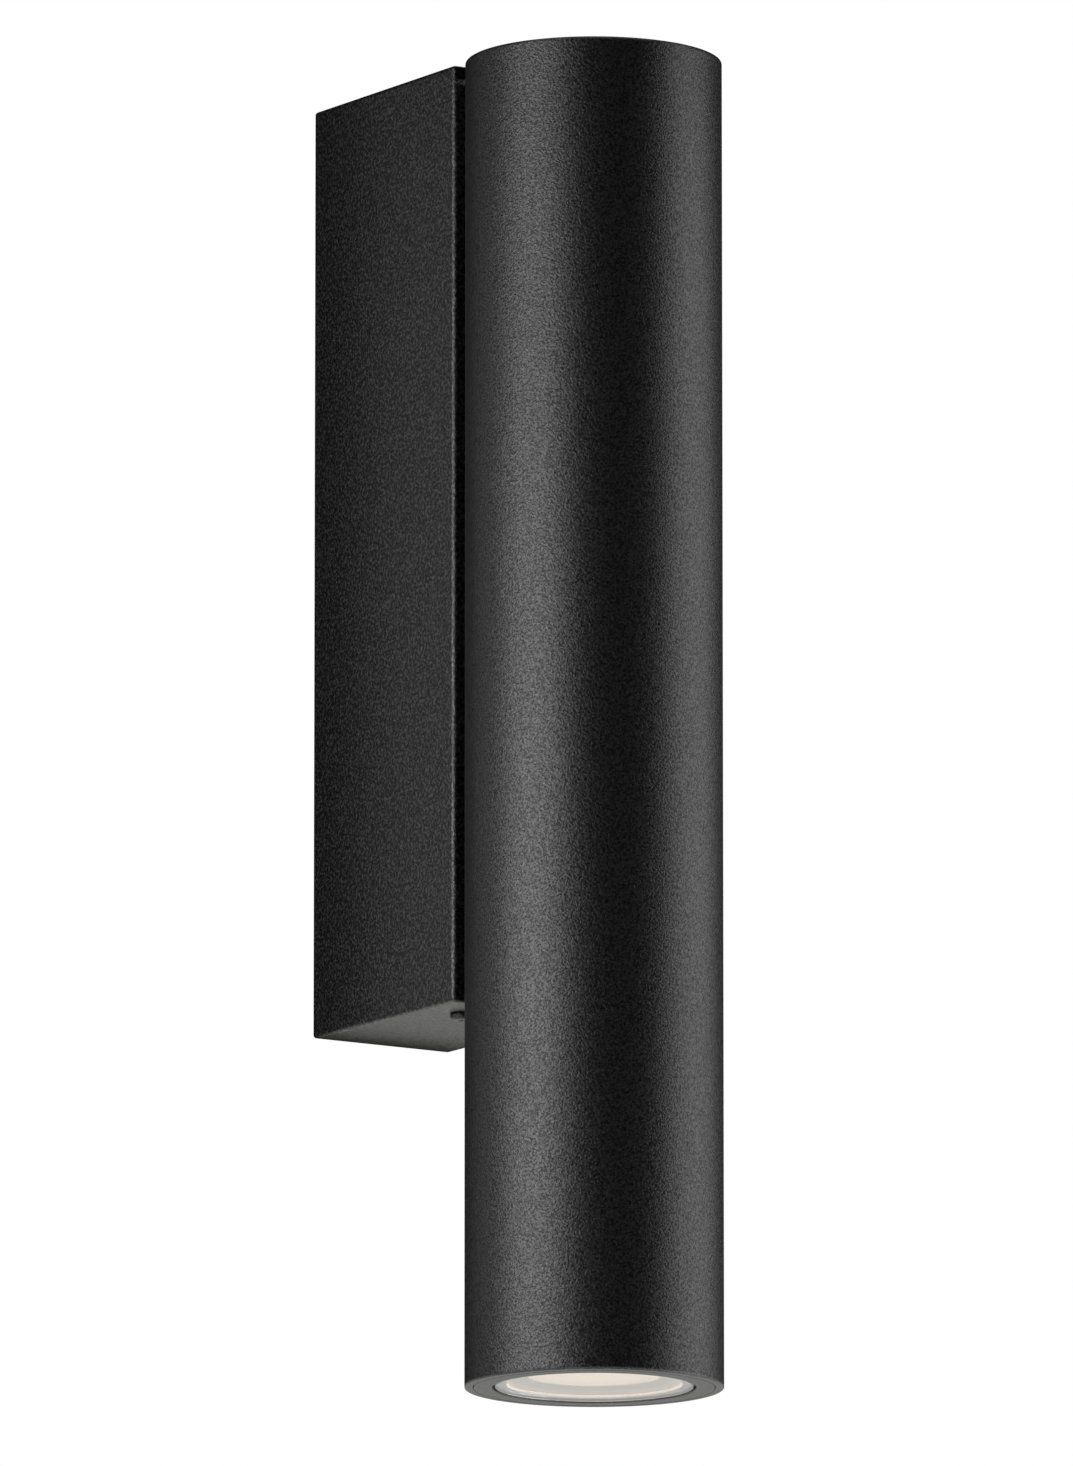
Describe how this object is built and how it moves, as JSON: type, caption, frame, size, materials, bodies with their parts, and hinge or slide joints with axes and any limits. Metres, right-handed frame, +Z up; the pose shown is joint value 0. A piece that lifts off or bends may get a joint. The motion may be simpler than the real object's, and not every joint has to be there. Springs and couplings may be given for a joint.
{
  "type": "tube wall light",
  "caption": "Outdoor wall light: an upright dark tube shining down through a round glass, carried by a slim wall box with its driver and terminals.",
  "frame": {"origin": "on the wall plane, at the centre of the wall box's back", "axes": "+Y into the wall, +Z up, +X to the right for someone who faces the wall; the tube stands out towards -Y"},
  "size_m": [0.06, 0.123, 0.318],
  "materials": {
    "coated_alloy": "charcoal fine-texture powder coat over aluminium",
    "bare_alloy": "machined aluminium, bare",
    "bright_alloy": "bright spun aluminium",
    "zinc_steel": "bright zinc-plated steel sheet",
    "stainless": "stainless steel screws",
    "spring_steel": "blackened spring steel",
    "brass": "bright brass",
    "tinned_brass": "tin-plated brass",
    "black_rubber": "black silicone rubber",
    "foam": "closed-cell black foam rubber",
    "grey_pad": "grey thermal silicone pad",
    "driver_case": "white moulded polycarbonate",
    "terminal_nylon": "natural nylon",
    "white_plastic": "white moulded plastic",
    "opal_plastic": "opal acrylic",
    "led_ceramic": "white ceramic substrate",
    "phosphor": "yellow phosphor in clear silicone",
    "clear_glass": "clear toughened glass, polished faces",
    "brown_lead": "brown insulation",
    "blue_lead": "blue insulation",
    "green_yellow_lead": "green and yellow insulation",
    "red_lead": "red silicone insulation",
    "black_lead": "black silicone insulation"
  },
  "bodies": {
    "fixture": {"wall_gasket": "foam", "wall_bracket": "zinc_steel", "cable_grommet": "black_rubber", "wall_box": "coated_alloy", "box_fixing_screws": "stainless", "led_driver": "driver_case", "driver_screws": "stainless", "terminal_block": "terminal_nylon", "terminal_clamps": "brass", "terminal_screws": "stainless", "block_screws": "stainless", "earth_tag": "tinned_brass", "earth_washer": "stainless", "earth_screw": "stainless", "line_lead": "brown_lead", "neutral_lead": "blue_lead", "earth_lead": "green_yellow_lead", "positive_lead": "red_lead", "negative_lead": "black_lead", "tube_body": "coated_alloy", "saddle_gasket": "black_rubber", "clamp_bar": "bare_alloy", "tube_screw_washers": "stainless", "tube_screws": "stainless", "lead_bush": "black_rubber", "top_cap": "coated_alloy", "top_cap_seal": "black_rubber", "heat_sink": "bare_alloy", "tube_circlip": "spring_steel", "thermal_pad": "grey_pad", "led_board": "led_ceramic", "led_emitter": "phosphor", "led_holder": "white_plastic", "holder_screws": "stainless", "reflector": "bright_alloy", "diffuser": "opal_plastic", "optic_bezel": "white_plastic"},
    "glass_set": {"front_glass": "clear_glass", "glass_gasket": "black_rubber", "front_seal": "black_rubber"},
    "ring_set": {"retaining_ring": "coated_alloy", "ring_seal": "black_rubber"}
  },
  "joints": [
    {"name": "ring_unscrew", "type": "hinge", "parent": "glass_set", "child": "ring_set", "pos_m": [0, -0.093, -0.2048], "axis": [0, 0, -1], "range_deg": [0, 1440]},
    {"name": "glass_travel", "type": "slide", "parent": "fixture", "child": "glass_set", "axis": [0, 0, -1], "range_m": [0, 0.006]}
  ],
  "couplings": [
    {"joint": "glass_travel", "follows": "ring_unscrew", "m_per_rad": 0.0002387}
  ]
}
